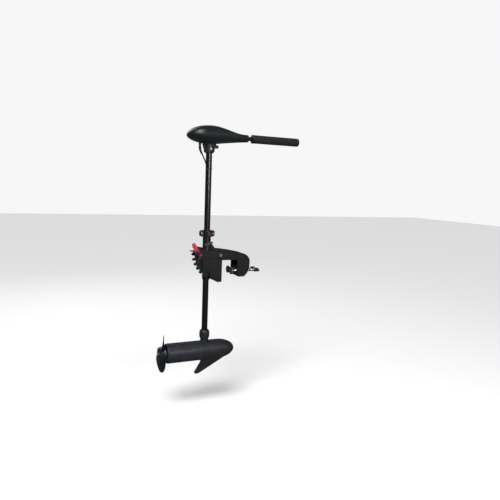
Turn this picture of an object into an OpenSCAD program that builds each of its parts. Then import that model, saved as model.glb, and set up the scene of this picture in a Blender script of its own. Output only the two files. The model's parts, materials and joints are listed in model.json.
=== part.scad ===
// Transom-mount electric trolling motor with a clamp bracket, tilt quadrant,
// steering column, tiller head and a two-blade propeller.
// Origin: centre of the bracket face that bears on the outside of the transom.
// +X points into the boat, +Y to port, +Z up.

/* [Shaft] */
// Distance of the shaft axis behind the transom face
shaft_back = 62; // [56:1:70]
// Outside diameter of the shaft tube
shaft_d = 28; // [26:0.5:30]
// Wall of the shaft tube
shaft_wall = 3; // [2:0.5:4]
// Height of the motor axis (below the origin)
pod_z = -384; // [-420:1:-370]
// Height of the underside of the head socket
neck_z = 534; // [500:1:560]

/* [Head] */
// Height of the seam between the two head shells, and of the tiller axis
seam_z = 610; // [600:1:640]
// Radius of the round rear of the head, seen from above
head_r = 70; // [62:1:76]
// Distance of that round's centre behind the shaft
head_round_back = 34; // [30:1:38]
// Length of the head from the shaft axis to the tiller end
head_tail = 185; // [175:1:195]
// Height of the crown above the seam
crown_h = 46; // [40:1:52]
// Depth of the belly below the seam
belly_h = 38; // [34:1:42]
// Half height and half width of the tail
tail_r = 17.5; // [17:0.5:19]
// Wall of the head shells
shell = 3; // [2:0.5:4]

/* [Tiller] */
// Diameter of the telescoping rod
rod_d = 19; // [16:0.5:20]
// Diameter of the rubber grip
grip_d = 38.5; // [34:0.5:42]
// Start of the grip, ahead of the shaft axis
grip_start = 209; // [205:1:215]
// Length of the grip with its end cap
grip_len = 246; // [220:1:260]

/* [Bracket] */
// Height of the face that bears on the transom
face_h = 100; // [90:1:110]
// Widest transom the clamps take
jaw = 78; // [70:1:84]
// Outside width of the bracket
bracket_w = 88; // [84:1:96]
// Thickness of each cheek
cheek_t = 8; // [6:1:10]
// Tilt pivot, ahead of the transom face and above the origin
pivot_x = -9; // [-12:1:-6]
// Height of the tilt pivot
pivot_z = 74; // [72:1:76]
// Diameter of the pivot bolt
pivot_d = 10; // [8:1:12]

/* [Tilt quadrant] */
// Radius of the notch centres from the pivot
notch_r = 122; // [120:1:124]
// Angle between notches
notch_step = 10.7; // [10:0.1:11]
// Angle of the notch that the lock pin sits in at rest
lock_angle = 172.1; // [171:0.1:173]
// Diameter of the lock pin
lock_d = 8; // [6:0.5:9]

/* [Motor] */
// Outside diameter of the motor casing
pod_d = 92; // [88:1:96]
// Rear end of the casing tube, behind the shaft axis
casing_back = 176; // [170:1:180]
// Front end of the casing tube, behind the shaft axis
casing_front = 26; // [24:1:30]
// Length of the nose ahead of the shaft axis
nose_len = 149; // [140:1:155]
// Radius of the propeller
prop_r = 100; // [90:1:115]
// Pitch of the propeller blades
prop_pitch = 130; // [110:5:170]
// Widest chord of a blade
blade_chord = 90; // [60:1:96]
// Angle of the upper blade from vertical
prop_angle = 20; // [0:1:90]

/* [Cable] */
// Diameter of the battery cable
cable_d = 6; // [5:0.5:7]
// Length of the folded hank along the shaft, at the middle of the cable
hank_len = 112; // [105:1:120]

/* [Hidden] */
$fn = 64;

shaft_x = -shaft_back;
shaft_r = shaft_d / 2;
rod_r = rod_d / 2;
pod_r = pod_d / 2;
running_fit = 0.05;
black = "#1b1c1e";
dark = "#2a2b2d";
red = "#a4505c";
steel = "#b9bcbf";

// ---- shared shapes -----------------------------------------------------

module xcyl(r, x0, x1, y = 0, z = 0) {
  translate([x0, y, z]) rotate([0, 90, 0]) cylinder(r = r, h = x1 - x0);
}

module ycyl(r, y0, y1, x = 0, z = 0) {
  translate([x, y1, z]) rotate([90, 0, 0]) cylinder(r = r, h = y1 - y0);
}

module zcyl(r, z0, z1, x = 0, y = 0) {
  translate([x, y, z0]) cylinder(r = r, h = z1 - z0);
}

module zcone(r0, r1, z0, z1) {
  translate([0, 0, z0]) cylinder(r1 = r0, r2 = r1, h = z1 - z0);
}

module block(low, high) {
  translate(low) cube(high - low);
}

// A ring along X about the motor or tiller axis
module xring(outer, inner, x0, x1) {
  difference() {
    xcyl(outer, x0, x1);
    xcyl(inner, x0 - 1, x1 + 1);
  }
}

// An outline in the X-Z plane, extruded between two Y values
module side_plate(y0, y1) {
  translate([0, y1, 0]) rotate([90, 0, 0]) linear_extrude(y1 - y0) children();
}

module at_shaft() {
  translate([shaft_x, 0, 0]) children();
}

module at_head() {
  translate([shaft_x, 0, seam_z]) children();
}

module at_pod() {
  translate([shaft_x, 0, pod_z]) children();
}

// Sweep: a round tube along a list of points
function unit(v) = v / norm(v);
function path_dir(p, i) =
  unit(p[min(i + 1, len(p) - 1)] - p[max(i - 1, 0)]);
function side_of(d) = unit(cross(d, abs(d.y) > 0.9 ? [1, 0, 0] : [0, 1, 0]));

module sweep(path, r, sides = 8) {
  n = len(path);
  points = [for (i = [0:n - 1]) let (d = path_dir(path, i), u = side_of(d),
    v = cross(d, u)) for (j = [0:sides - 1])
    path[i] + r * (cos(360 * j / sides) * u + sin(360 * j / sides) * v)];
  faces = concat(
    [[for (j = [0:sides - 1]) j]],
    [for (i = [0:n - 2]) for (j = [0:sides - 1]) for (half = [0, 1])
      let (k = (j + 1) % sides, a = i * sides + j, b = i * sides + k)
      half == 0 ? [a, a + sides, b + sides] : [a, b + sides, b]],
    [[for (j = [sides - 1:-1:0]) (n - 1) * sides + j]]);
  polyhedron(points, faces, convexity = 6);
}

// ---- head --------------------------------------------------------------

// Plan half width: a round rear, then straight flanks tangent to it
flank = asin((head_r - tail_r) / (head_tail + head_round_back));
flank_x = -head_round_back + head_r * sin(flank);
function plan_w(x) = x < flank_x
  ? sqrt(max(pow(head_r, 2) - pow(x + head_round_back, 2), 0))
  : head_r * cos(flank) - (x - flank_x) * tan(flank);

// Crown above and belly below the seam
head_back = head_r + head_round_back;
function rear_curve(x) = sqrt(max(1 - pow((x - 10) / (head_back + 10), 2), 0));
function crown(x) = x < 10
  ? crown_h * rear_curve(x)
  : tail_r + (crown_h - tail_r) * (1 + cos(min(180, (x - 10) * 1.09))) / 2;
function belly(x) = x < 10
  ? belly_h * rear_curve(x)
  : tail_r + (belly_h - tail_r) * pow(max(1 - (x - 10) / (head_tail - 10), 0), 1.2);

function stations(inset) = let (x0 = -head_back + inset + 0.2)
  concat([for (i = [0:9]) x0 + (head_back - 24) * pow(i / 10, 2)],
    [for (i = [0:12]) let (x1 = x0 + head_back - 24)
      x1 + (head_tail - x1) * i / 12]);

// A closed half dome above (side 1) or below (side -1) the seam
module half_head(side, inset) {
  xs = stations(inset);
  arc = 14;
  n = len(xs);
  points = [for (x = xs) let (w = max(plan_w(x) - inset, 0.4),
    h = max((side > 0 ? crown(x) : belly(x)) - inset, 0.4))
    for (j = [0:arc]) let (t = 180 * j / arc)
    [x, w * cos(t), side * h * pow(max(sin(t), 0), 0.9)]];
  ring = arc + 1;
  quads = [for (i = [0:n - 2]) for (j = [0:ring - 1]) for (half = [0, 1])
    let (k = (j + 1) % ring, a = i * ring + j, b = i * ring + k)
    half == 0 ? [a, b, b + ring] : [a, b + ring, a + ring]];
  caps = [[for (j = [ring - 1:-1:0]) j], [for (j = [0:ring - 1]) (n - 1) * ring + j]];
  all = concat(quads, caps);
  flipped = [for (f = all) [for (k = [len(f) - 1:-1:0]) f[k]]];
  polyhedron(points, side > 0 ? flipped : all, convexity = 4);
}

post_spots = [[-72, 30], [-72, -30], [62, 32], [62, -32]];

module head_top_cover() color(dark) at_head() {
  difference() {
    union() {
      difference() {
        half_head(1, 0);
        translate([0, 0, -0.01]) half_head(1, shell);
      }
      intersection() {
        half_head(1, 1);
        for (p = post_spots) zcyl(4.5, 0, 40, p.x, p.y);
      }
    }
    xcyl(14.6, 146, head_tail + 1);
    for (p = post_spots) zcyl(2, -1, 12, p.x, p.y);
  }
}

module head_housing() color(black) at_head() {
  difference() {
    union() {
      difference() {
        half_head(-1, 0);
        translate([0, 0, 0.01]) half_head(-1, shell);
      }
      intersection() {
        half_head(-1, 0.5);
        for (p = post_spots) zcyl(6.5, -40, 0, p.x, p.y);
      }
    }
    xcyl(14.6, 146, head_tail + 1);
    zcyl(socket_r, -60, socket_top - seam_z);
    zcyl(5, -60, -10, -44, 0);
    for (p = post_spots) {
      zcyl(2, -60, 1, p.x, p.y);
      zcyl(4, -60, -10, p.x, p.y);
    }
  }
}

module head_screws() color(steel) at_head() {
  for (p = post_spots) {
    zcyl(2, -10, 11, p.x, p.y);
    difference() {
      zcyl(3.7, -12.4, -10, p.x, p.y);
      zcyl(1.2, -13, -11.2, p.x, p.y);
    }
  }
}

sleeve_start = 10;
sleeve_end = 178;

module speed_switch() color("#4a4d52") at_head() {
  difference() {
    block([-36, -22, -16], [sleeve_start - 2, 22, 16]);
    xcyl(5 + running_fit, sleeve_start - 12, sleeve_start + 1);
  }
  for (y = [-14, 0, 14]) block([-40, y - 3, -10], [-36, y + 3, -6]);
  for (y = [-12, 12]) block([-24, y - 3, -32], [-18, y + 3, -16]);
}

module terminal_block() color("#5a5d60") at_head() {
  difference() {
    block([-84, -12, -14], [-58, 12, -4]);
    for (y = [-6, 6]) zcyl(2.5, -10, 0, -71, y);
  }
  block([-72, -3, -23.3], [-66, 3, -14]);
}

module speed_sleeve() color("#3a3d42") at_head() {
  xring(12, rod_r + running_fit, sleeve_start + 8, sleeve_end);
  xcyl(12, sleeve_start, sleeve_start + 8);
  xcyl(5, sleeve_start - 10, sleeve_start);
}

module tiller_bushing() color("#303236") at_head() {
  xring(14.6, 12 + running_fit, 148, head_tail);
  xring(16.5, 12 + running_fit, head_tail, head_tail + 3);
}

module tiller_rod() color("#26282b") at_head()
  xcyl(rod_r, sleeve_start + 12, grip_start + grip_len - 20);

cap_start = grip_start + grip_len - 13;

module tiller_grip() color(black) at_head() {
  difference() {
    union() {
      xcyl(grip_d / 2 + 1.2, grip_start, grip_start + 4);
      xcyl(grip_d / 2, grip_start + 4, cap_start - 2);
      xcyl(grip_d / 2 - 1.2, cap_start - 2, cap_start);
    }
    xcyl(rod_r, grip_start - 1, cap_start - 6);
  }
}

module grip_end_cap() color(black) at_head() translate([cap_start, 0, 0])
  rotate([0, 90, 0]) rotate_extrude()
    polygon(concat([[0, 0], [grip_d / 2 - 0.3, 0], [grip_d / 2 - 0.3, 7]],
      [for (a = [15:15:90]) [grip_d / 2 - 6.3 + 6 * cos(a), 7 + 6 * sin(a)]],
      [[0, 13]]));

// ---- head socket -------------------------------------------------------

socket_top = seam_z - belly_h + 5;
bolt_z = neck_z + 18;
knob_z = neck_z + 29;
socket_r = 33;

module neck_socket() color(dark) at_shaft() {
  difference() {
    union() {
      zcone(19, 24.5, neck_z, neck_z + 6);
      zcyl(24.5, neck_z + 6, socket_top - 6);
      zcone(24.5, socket_r, socket_top - 6, socket_top);
      xcyl(7.2, 20, 28, 0, knob_z);
    }
    zcyl(shaft_r, neck_z - 1, socket_top + 1);
    ycyl(3, -40, 40, 0, bolt_z);
    xcyl(3 + running_fit, shaft_r - 5, 30, 0, knob_z);
  }
}

module neck_bolt() color(steel) at_shaft() {
  ycyl(3, -25, 26, 0, bolt_z);
  ycyl(4.8, -28, -24.6, 0, bolt_z);
  difference() {
    ycyl(5.5, 24.6, 29, 0, bolt_z);
    ycyl(3, 24, 30, 0, bolt_z);
  }
}

module neck_knob() color("#7a3d46") at_shaft() {
  xcyl(3, shaft_r + 1, 29, 0, knob_z);
  difference() {
    xcyl(7.5, 28.4, 42, 0, knob_z);
    for (a = [0:60:300]) translate([0, 0, knob_z]) rotate([a, 0, 0])
      xcyl(1.6, 30, 43, 0, 8.4);
  }
}

// ---- battery cable -----------------------------------------------------

gland_x = -44;
gland_low = 562;
cable_r = cable_d / 2;
// Direction in which the hank stands off the shaft
out_angle = 70.5;
hank_w = 6 * cable_d;
hank_near = shaft_r + cable_r + 1;
hank_top = 470;
hank_low = hank_top - hank_len;
turns = 4;

module cable_gland() color("#515355") at_shaft() difference() {
  union() {
    translate([gland_x, 0, 0]) zcone(4.6, 6.2, gland_low, gland_low + 12.5);
    zcyl(5, gland_low + 12, gland_low + 27, gland_x, 0);
  }
  zcyl(cable_r, gland_low - 1, gland_low + 30, gland_x, 0);
}

// Centre line of the stretch that hangs free, and of the tail to the plug,
// in the frame of the shaft axis
lead_path = [[-44, 0, 588], [-44, 0, 575], [-44, 0, 562], [-43.5, 0, 553],
  [-41, 1, 544], [-37, 2.5, 536], [-32, 4, 529], [-26, 7, 520],
  [-19.5, 11, 510], [-13, 15.5, 500], [-8, 18.5, 490], [-4.5, 20, 480],
  [-2.5, 20.5, 470], [-2.3, 20.4, 461], [-2.3, 20.4, 452]];
function hank_point(o, t, z) =
  [o * cos(out_angle) + t * sin(out_angle),
   o * sin(out_angle) - t * cos(out_angle), z];
tail_path = [for (p = [[54, 9, 386], [54.3, 9, 396], [56.5, 8.5, 406],
  [60, 7, 416], [63, 5, 426], [65.4, 3.4, 436], [66, 3, 443.6]])
  hank_point(p[0], p[1], p[2])];

module hank_solid() rotate([0, 0, out_angle - 90]) {
  y0 = hank_near - cable_r;
  low = hank_low - cable_r;
  end_r = hank_w / 2 + cable_r;
  translate([-turns * cable_r, 0, 0]) rotate([90, 0, 90])
    linear_extrude(turns * cable_d) union() {
      translate([y0 + end_r, low + end_r]) circle(end_r);
      translate([y0 + end_r, hank_top + cable_r - end_r]) circle(end_r);
      translate([y0, low + end_r]) square([2 * end_r, hank_len + cable_d - 2 * end_r]);
    }
}

module battery_cable() color(black) at_shaft() difference() {
  union() {
    sweep(lead_path, cable_r, 10);
    sweep(tail_path, cable_r, 10);
  }
  hank_solid();
}

module cable_hank() color(black) at_shaft() hank_solid();

plug_low = 444;
plug_len = 44;

module battery_plug() color(dark) at_shaft() rotate([0, 0, out_angle - 90])
  difference() {
    block([-8, 57.6 + 0.4, plug_low], [14, 57.6 + 16.4, plug_low + plug_len]);
    for (x = [-3, 9]) zcyl(3, plug_low + plug_len - 14, plug_low + plug_len + 1, x, 66);
  }

module tie_outline(grow, depth) offset(delta = grow) hull() {
  circle(shaft_r + 0.05);
  translate([-12.2, 30]) square([24.4 + (depth > 60 ? 1.9 : 0), depth - 30]);
}

module tie_at(z, depth) translate([0, 0, z]) rotate([0, 0, out_angle - 90])
  linear_extrude(3.6) difference() {
    tie_outline(1.2, depth);
    tie_outline(0, depth);
  }

module cable_ties() color("#0e0f10") at_shaft() {
  tie_at(395, 57.4);
  tie_at(462, 74.6);
}

// ---- shaft -------------------------------------------------------------

shaft_low = pod_z + 40;
shaft_top = seam_z - 26;

module shaft_tube() color(black) at_shaft() difference() {
  zcyl(shaft_r, shaft_low, shaft_top);
  zcyl(shaft_r - shaft_wall, shaft_low - 1, shaft_top + 1);
  ycyl(3, -20, 20, 0, bolt_z);
}

module motor_leads() {
  for (side = [-1, 1]) color(side > 0 ? "#8a1f1f" : black) at_shaft()
    zcyl(2, shaft_low + 1, shaft_top + 6, side * 7, 0);
}

// ---- depth collar ------------------------------------------------------

collar_low = 156;
collar_h = 29;
collar_mid = collar_low + collar_h / 2;
ear_x = 26;

module collar_half(side) difference() {
  union() {
    zcyl(21.5, collar_low, collar_low + collar_h);
    for (s = [-1, 1]) {
      block([min(s * 15, s * ear_x), -9, collar_low],
        [max(s * 15, s * ear_x), 9, collar_low + collar_h]);
      ycyl(9, -9, 9, s * ear_x, collar_low + 9);
      ycyl(9, -9, 9, s * ear_x, collar_low + collar_h - 9);
      block([s * ear_x - 9, -9, collar_low + 9],
        [s * ear_x + 9, 9, collar_low + collar_h - 9]);
    }
    if (side < 0) ycyl(9, -25, -15, 0, collar_mid);
  }
  zcyl(shaft_r + running_fit, collar_low - 1, collar_low + collar_h + 1);
  if (side < 0) block([-60, -0.6, collar_low - 1], [60, 60, collar_low + collar_h + 1]);
  if (side > 0) block([-60, -60, collar_low - 1], [60, 0.6, collar_low + collar_h + 1]);
  for (s = [-1, 1]) ycyl(2.5, -20, 20, s * ear_x, collar_mid);
  ycyl(3 + running_fit, -40, 0, 0, collar_mid);
}

module collar_near_half() color(black) at_shaft() collar_half(-1);

module collar_far_half() color(black) at_shaft() collar_half(1);

module collar_screws() color(steel) at_shaft() for (s = [-1, 1]) {
  ycyl(2.5, -9.5, 12, s * ear_x, collar_mid);
  ycyl(3.8, -12, -9, s * ear_x, collar_mid);
  difference() {
    ycyl(5, 9, 13, s * ear_x, collar_mid);
    ycyl(2.5, 8, 14, s * ear_x, collar_mid);
  }
}

module depth_knob() color("#6b4145") at_shaft() {
  ycyl(3, -30, -shaft_r - 0.4, 0, collar_mid);
  difference() {
    ycyl(9, -34, -25.4, 0, collar_mid);
    for (a = [0:45:315]) translate([0, 0, collar_mid]) rotate([0, a, 0])
      ycyl(2, -35, -28, 9.8, 0);
  }
}

// ---- steering column and tilt quadrant ---------------------------------

column_top = 155;
column_low = -44;
bush_r = 16;
bush_len = 22;
knob_height = 126;
plate_in = 29;
plate_out = 35;
tooth_angles = [for (i = [0:4]) lock_angle + notch_step * (i + 0.5)];

function polar(r, a) = [pivot_x + r * cos(a), pivot_z + r * sin(a)];

// Tooth tips stand further out at the top of the arc than at its foot
function tip_r(a) = 137 - (a - lock_angle) * 0.24;

// Plain plate on the port side, inside the notched one's outline
module plain_outline() difference() {
  union() {
    polygon(concat([[pivot_x, pivot_z + 12]], [for (a = [160:4:232]) polar(100, a)],
      [[shaft_x + 14, -12], [pivot_x - 4, pivot_z - 12]]));
    translate([pivot_x, pivot_z]) circle(13);
  }
  translate([pivot_x, pivot_z]) circle(pivot_d / 2 + running_fit);
}

module quadrant_outline() difference() {
  union() {
    polygon(concat([[pivot_x, pivot_z + 13]],
      [for (a = [165:3:231]) polar(126, a)],
      [[shaft_x + 14, -20], [pivot_x - 4, pivot_z - 12]]));
    translate([pivot_x, pivot_z]) circle(13);
    for (a = tooth_angles) rotate_about_pivot(a) {
      translate([tip_r(a) - 6, 0]) circle(6);
      translate([112, -6]) square([tip_r(a) - 118, 12]);
    }
  }
  for (i = [0:5]) rotate_about_pivot(lock_angle + notch_step * i) {
    translate([notch_r, 0]) circle(5.2);
    translate([notch_r, -5.2]) square([30, 10.4]);
  }
  translate([pivot_x, pivot_z]) circle(pivot_d / 2 + running_fit);
}

module rotate_about_pivot(a) translate([pivot_x, pivot_z]) rotate(a) children();

module tilt_yoke() color(black) difference() {
  union() {
    side_plate(-plate_out, -plate_in) quadrant_outline();
    side_plate(plate_in, plate_out) plain_outline();
    ycyl(12, -plate_in - 1, plate_in + 1, pivot_x, pivot_z);
    at_shaft() {
      zcyl(18.5, knob_height - 15, column_top);
      zcone(20.5, 18.5, knob_height - 27, knob_height - 15);
      zcyl(20.5, 0, knob_height - 27);
      zcyl(17.5, column_low, 0);
      ycyl(9, -21, -10, 0, knob_height);
      for (z = [4, 46, 88]) block([-26, -plate_in - 1, z], [20, plate_in + 1, z + 6]);
    }
    side_plate(-5, 5) polygon([[shaft_x, 133], [shaft_x + 21, 128],
      [shaft_x + 41, 99], [pivot_x, pivot_z + 13], [pivot_x, pivot_z - 13],
      [shaft_x, 40]]);
  }
  at_shaft() {
    zcyl(15.5, column_low - 1, column_top + 1);
    zcyl(bush_r, column_low - 1, column_low + bush_len);
    zcyl(bush_r, column_top - bush_len, column_top + 1);
    ycyl(4 + running_fit, -30, -10, 0, knob_height);
    ycyl(5.5, -19, -10, 0, knob_height);
  }
  ycyl(pivot_d / 2 + running_fit, -50, 50, pivot_x, pivot_z);
}

module steering_bushings() color("#d8d6cf") at_shaft()
  for (z = [column_low, column_top - bush_len]) difference() {
    zcyl(bush_r, z, z + bush_len);
    zcyl(shaft_r + running_fit, z - 1, z + bush_len + 1);
  }

module steering_pad() color("#d8d6cf") at_shaft()
  ycyl(5.4, -18.5, -shaft_r - 0.3, 0, knob_height);

module steering_knob() color("#4c4e51") at_shaft() {
  ycyl(4, -24, -18.6, 0, knob_height);
  ycyl(8.5, -34, -21.4, 0, knob_height);
  translate([0, 0, knob_height]) rotate([0, -18, 0]) for (s = [-1, 1]) hull() {
    ycyl(5, -33, -26, s * 6, 0, $fn = 32);
    ycyl(4, -32, -27, s * 16, 0, $fn = 32);
  }
}

// ---- clamp bracket -----------------------------------------------------

half_w = bracket_w / 2;
cheek_in = half_w - cheek_t;
face_low = -face_h / 2;
roof_z = face_h / 2;
top_z = 98;
rim = 2.5;
leg_back = jaw + 6;
leg_front = 128;
clamp_y = 21;
clamp_z = -4;
lock_x = pivot_x + notch_r * cos(lock_angle);
lock_z = pivot_z + notch_r * sin(lock_angle);

// Side outline: panel behind the transom, roof over it, hook and leg in front
module cheek_outline() polygon(concat(
  [[-96, top_z], [-36, top_z], [12, 95], [60, 88]],
  [for (a = [75:-15:0]) [98 + 42 * cos(a), 38 + 42 * sin(a)]],
  [[138, 10], [leg_front, -14], [112, -30], [leg_back, -30], [jaw, -20],
   [jaw, roof_z], [0, roof_z], [0, face_low], [-19, face_low - 2],
   [-57, -34], [-60, 0], [-94, 2]]));

// Lip along the top edge of each cheek
module rim_outline() polygon([[-94, top_z], [-36, top_z], [12, 95], [60, 88],
  [60, 83], [12, 90], [-36, top_z - 5], [-94, top_z - 5]]);

// Starboard rail that carries the lever and the lock pin
module rail_outline() {
  polygon([[-153, top_z], [-85, top_z], [-85, 50], [-126, 56], [-130, 84],
    [-136, 93.5], [-153, 93.5]]);
  translate([lock_x, lock_z]) circle(10);
}

lever_foot = [-111, 76];
lever_y = -61.5;
// The lever rests in its released detent, swung out with the lock pin drawn
released = 13;
pin_draw = 7.37;

module along_lever_pin() translate([lever_foot.x, lever_y, lever_foot.y])
  rotate([0, 38.2, 0]) children();

module clamp_bracket() color("#202123") difference() {
  union() {
    for (s = [-1, 1]) side_plate(s > 0 ? cheek_in : -half_w,
      s > 0 ? half_w : -cheek_in) cheek_outline();
    side_plate(-half_w, -cheek_in) rail_outline();
    for (s = [-1, 1]) side_plate(s > 0 ? half_w - 1 : -half_w - rim,
      s > 0 ? half_w + rim : -half_w + 1) rim_outline();
    // plate that bears on the transom, and the roof over it
    block([-10, -cheek_in, face_low], [0, cheek_in, 58]);
    block([-10, -cheek_in, roof_z], [100, cheek_in, 58]);
    // top skin of the hook, the leg block and its two screw bosses
    side_plate(-cheek_in, cheek_in) polygon(concat(
      [for (a = [75:-15:0]) [98 + 42 * cos(a), 38 + 42 * sin(a)]], [[138, 10],
      [leg_front, -14], [112, -30], [leg_back, -30], [leg_back, 20], [126, 26],
      [130, 38]], [for (a = [15:15:75]) [98 + 34 * cos(a), 38 + 34 * sin(a)]]));
    side_plate(-cheek_in, cheek_in) polygon([[90, 50], [100, 50], [107, 79],
      [98, 79]]);
    ycyl(10, -57.5, -half_w, lock_x, lock_z);
    along_lever_pin() for (s = [-1, 1]) translate([0, 0, s * 12])
      translate([-5, -3, -2.5]) cube([10, -half_w - lever_y + 4, 5]);
    for (s = [-1, 1]) ycyl(14, s > 0 ? half_w : -half_w - 2.5,
      s > 0 ? half_w + 2.5 : -half_w, pivot_x, pivot_z);
  }
  ycyl(pivot_d / 2, -60, 60, pivot_x, pivot_z);
  for (s = [-1, 1]) xcyl(6 + running_fit, 60, 200, s * clamp_y, clamp_z);
  ycyl(lock_d / 2 + running_fit, -45, -20, lock_x, lock_z);
  ycyl(6.6, -55.5, -40, lock_x, lock_z);
  ycyl(3 + running_fit, -60, -40, lock_x, lock_z);
  along_lever_pin() zcyl(2.5, -20, 20);
}

module pivot_bolt() color(steel) {
  ycyl(pivot_d / 2, -half_w - 3, half_w + 10, pivot_x, pivot_z);
  ycyl(7, -half_w - 7, -half_w - 2.5, pivot_x, pivot_z);
}

module pivot_nut() color(steel) difference() {
  union() {
    ycyl(10, half_w + 2.5, half_w + 4, pivot_x, pivot_z);
    ycyl(8.5, half_w + 4, half_w + 11.5, pivot_x, pivot_z, $fn = 6);
  }
  ycyl(pivot_d / 2, half_w, half_w + 13, pivot_x, pivot_z);
}

lever_bend = [-135, 101];
lever_tip = [-149, 128];

module tilt_lever() color(red) translate([lever_foot.x, lever_y, lever_foot.y])
  rotate([0, 38.2, 0]) rotate([0, 0, released]) rotate([0, -38.2, 0])
  translate([-lever_foot.x, -lever_y, -lever_foot.y]) difference() {
  union() {
    side_plate(lever_y - 2.5, lever_y + 2.5) union() {
      translate([lock_x, lock_z]) circle(10.5);
      hull() {
        translate(lever_foot) circle(7.5, $fn = 32);
        translate(lever_bend) circle(9.5, $fn = 32);
      }
      hull() {
        translate(lever_bend) circle(9.5, $fn = 32);
        translate(lever_tip) circle(8.5, $fn = 32);
      }
    }
    along_lever_pin() zcyl(4.6, -7.5, 7.5);
  }
  along_lever_pin() zcyl(2.5 + running_fit, -20, 20);
  ycyl(5.6, -70, -50, lock_x, lock_z);
}

module lever_pin() color(steel) along_lever_pin() zcyl(2.5, -16, 16);

module lock_pin() color(steel) {
  translate([0, -pin_draw, 0]) {
    ycyl(lock_d / 2, -44, -28.5, lock_x, lock_z);
    ycyl(6, -42.3, -40.3, lock_x, lock_z);
    ycyl(3, -65, -44, lock_x, lock_z);
    ycyl(7, -68, -64.4, lock_x, lock_z);
  }
}

spring_steps = 48;

module lock_spring() color(steel) sweep([for (i = [0:spring_steps])
  [lock_x + 5 * cos(30 * i), -50.3 - 4.6 * i / spring_steps,
   lock_z + 5 * sin(30 * i)]], 0.45, 6);

// ---- transom clamps ----------------------------------------------------

pad_face = 52;
pad_t = 8;
screw_r = 6;
knob_x = 174;

module clamp_screw(y) {
  xcyl(4, pad_face + 2.4, pad_face + pad_t + 1, y, clamp_z);
  xcyl(screw_r, pad_face + pad_t + 0.6, knob_x + 6, y, clamp_z);
}

module clamp_knob(y) difference() {
  union() {
    xcyl(9, knob_x, knob_x + 20, y, clamp_z);
    translate([knob_x + 6, y, clamp_z]) rotate([0, 90, 0])
      translate([-5, -20, 0]) cube([10, 40, 13]);
  }
  xcyl(screw_r, knob_x - 1, knob_x + 6, y, clamp_z);
}

module clamp_pad(y) difference() {
  xcyl(17, pad_face, pad_face + pad_t, y, clamp_z);
  xcyl(4 + running_fit, pad_face + 2, pad_face + pad_t + 1, y, clamp_z);
}

module clamp_screw_port() color(steel) clamp_screw(clamp_y);
module clamp_knob_port() color(black) clamp_knob(clamp_y);
module clamp_pad_port() color("#77797c") clamp_pad(clamp_y);
module clamp_screw_starboard() color(steel) clamp_screw(-clamp_y);
module clamp_knob_starboard() color(black) clamp_knob(-clamp_y);
module clamp_pad_starboard() color("#77797c") clamp_pad(-clamp_y);

// ---- motor -------------------------------------------------------------

casing_t = 3.5;
inner_r = pod_r - casing_t;
boot_top = pod_z + 99;
boot_low = pod_z + 57;
nose_start = 60;
// Distance of the through bolts from the motor axis
bolt_at = 35;

module shaft_boot() color(dark) at_shaft() rotate_extrude()
  polygon([[shaft_r, boot_low], [18.5, boot_low], [22.6, boot_low + 6],
    [23.8, boot_low + 14], [23.8, boot_top - 13], [21.6, boot_top - 4],
    [18.5, boot_top], [shaft_r, boot_top]]);

module nose_profile(inset) polygon(concat([[0, -casing_front]],
  [[pod_r - inset, -casing_front]],
  [for (a = [0:7.5:90]) [(pod_r - inset) * cos(a),
    nose_start + (nose_len - nose_start - inset) * sin(a)]]));

module nose_casting() color("#313236") difference() {
  union() {
    at_pod() rotate([0, 90, 0]) rotate_extrude() nose_profile(0);
    at_shaft() zcyl(19, pod_z + 30, boot_low);
    at_pod() side_plate(-3.2, 3.2) polygon([[120, -20], [146, -14],
      [140, -23], [-19, -109], [-28, -112.5], [-40, -113], [-45, -110],
      [-46, -105], [-20, -62], [-16, -54], [-16, -40], [60, -40]]);
  }
  at_pod() {
    xcyl(inner_r, -casing_front - 1, 30);
    xcyl(13, 29, 40);
    xcyl(7, 39, 46);
    xring(inner_r + 2.4, inner_r + 1, -casing_front - 1, -casing_front + 1.5);
    for (s = [-1, 1]) xcyl(2.5, 25, 44, s * bolt_at, 0);
  }
  at_shaft() zcyl(shaft_r, pod_z + 39, boot_low + 1);
}

module motor_casing() color("#3a3b3f") at_pod()
  xring(pod_r, inner_r, -casing_back, -casing_front);

module rear_end_cap() color("#2c2e32") at_pod() difference() {
  translate([-casing_back, 0, 0]) rotate([0, -90, 0]) rotate_extrude()
    polygon([[0, -6], [inner_r, -6], [inner_r, 0], [pod_r, 0], [pod_r, 4],
      [44.5, 7], [41, 10], [0, 10]]);
  xcyl(13, -casing_back - 3, -casing_back + 7);
  xcyl(11, -casing_back - 11, -casing_back - 5);
  xcyl(7, -casing_back - 11, -casing_back);
  for (s = [-1, 1]) {
    xcyl(2.5, -casing_back - 11, -casing_back + 7, s * bolt_at, 0);
    xcyl(5, -casing_back - 11, -casing_back - 6, s * bolt_at, 0);
  }
  xring(inner_r + 2.4, inner_r + 1, -casing_back - 1.5, -casing_back + 1);
}

module case_seals() color("#101010") at_pod() {
  xring(inner_r + 2.4, inner_r + 1, -casing_front, -casing_front + 1.5);
  xring(inner_r + 2.4, inner_r + 1, -casing_back - 1.5, -casing_back);
}

module through_bolts() color(steel) at_pod() for (s = [-1, 1]) {
  xcyl(2.5, -casing_back - 6, 40, s * bolt_at, 0);
  xcyl(4.5, -casing_back - 9.5, -casing_back - 6, s * bolt_at, 0);
}

module magnets() color("#2e2e30") at_pod() for (s = [-1, 1])
  rotate([s > 0 ? 0 : 180, 0, 0]) translate([-138, 0, 0]) rotate([90, 0, 90])
    linear_extrude(96) intersection() {
      difference() {
        circle(inner_r);
        circle(30);
      }
      polygon([[0, 0], [90, 45], [0, 120], [-90, 45]]);
    }

module bearing(x, w, bore) {
  xring(13, 10.5, x, x + w);
  xring(8, bore, x, x + w);
  for (a = [0:40:320]) rotate([a, 0, 0]) translate([x + w / 2, 9.25, 0])
    sphere(1.2, $fn = 24);
}

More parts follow.
